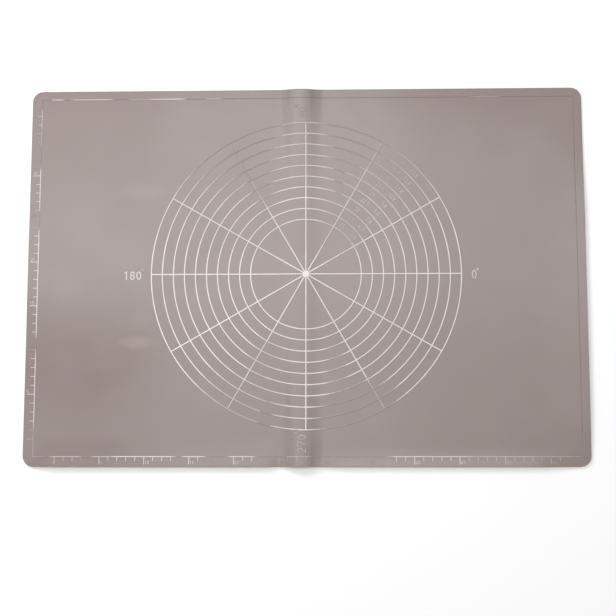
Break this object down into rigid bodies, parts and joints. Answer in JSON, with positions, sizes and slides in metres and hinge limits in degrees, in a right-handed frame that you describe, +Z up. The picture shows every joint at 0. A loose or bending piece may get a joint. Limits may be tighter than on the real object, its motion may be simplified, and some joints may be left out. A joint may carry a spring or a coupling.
{
  "type": "silicone baking mat",
  "caption": "Flexible silicone pastry mat, 630 x 430 mm, with printed sizing rings, rays and centimetre rulers, folding in half along its ridge.",
  "frame": {"origin": "On the table under the middle of the mat, at the centre of its underside's outline.", "axes": "+X along the long side to the right as the print reads, +Y away from the user to the far edge, +Z up out of the printed face."},
  "size_m": [0.63, 0.43, 0.0052],
  "materials": {
    "sheet": "matt",
    "print": "satin"
  },
  "bodies": {
    "left_half": {"angle_180": "print", "bottom_ruler_marks_left": "print", "bottom_ruler_numbers_left": "print", "frame_bottom_left": "print", "frame_left": "print", "frame_top_left": "print", "mat_left_half": "sheet", "ray_120": "print", "ray_150": "print", "ray_180": "print", "ray_210": "print", "ray_240": "print", "ring_01_left": "print", "ring_02_left": "print", "ring_03_left": "print", "ring_04_left": "print", "ring_05_left": "print", "ring_06_left": "print", "ring_07_left": "print", "ring_08_left": "print", "ring_09_left": "print", "ring_10_left": "print", "side_ruler_marks": "print", "side_ruler_numbers": "print", "angle_270": "print", "angle_90": "print", "bottom_ruler_marks_on_fold": "print", "bottom_ruler_numbers_on_fold": "print", "centre_dot": "print", "frame_on_fold": "print", "mat_fold_strip": "sheet", "rays_on_fold": "print", "rings_on_fold": "print"},
    "right_half": {"angle_0": "print", "bottom_ruler_marks_right": "print", "bottom_ruler_numbers_right": "print", "frame_bottom_right": "print", "frame_right": "print", "frame_top_right": "print", "mat_right_half": "sheet", "ray_000": "print", "ray_030": "print", "ray_060": "print", "ray_300": "print", "ray_330": "print", "ring_01_right": "print", "ring_02_right": "print", "ring_03_right": "print", "ring_04_right": "print", "ring_05_right": "print", "ring_06_right": "print", "ring_07_right": "print", "ring_08_right": "print", "ring_09_right": "print", "ring_10_right": "print", "ring_numbers": "print"}
  },
  "joints": [
    {"name": "fold", "type": "hinge", "parent": "left_half", "child": "right_half", "pos_m": [-0.0065, 0, 0.008], "axis": [0, -1, 0], "range_deg": [0, 180], "deforming": ["angle_270", "angle_90", "bottom_ruler_marks_on_fold", "bottom_ruler_numbers_on_fold", "centre_dot", "frame_on_fold", "mat_fold_strip", "rays_on_fold", "rings_on_fold"]}
  ]
}
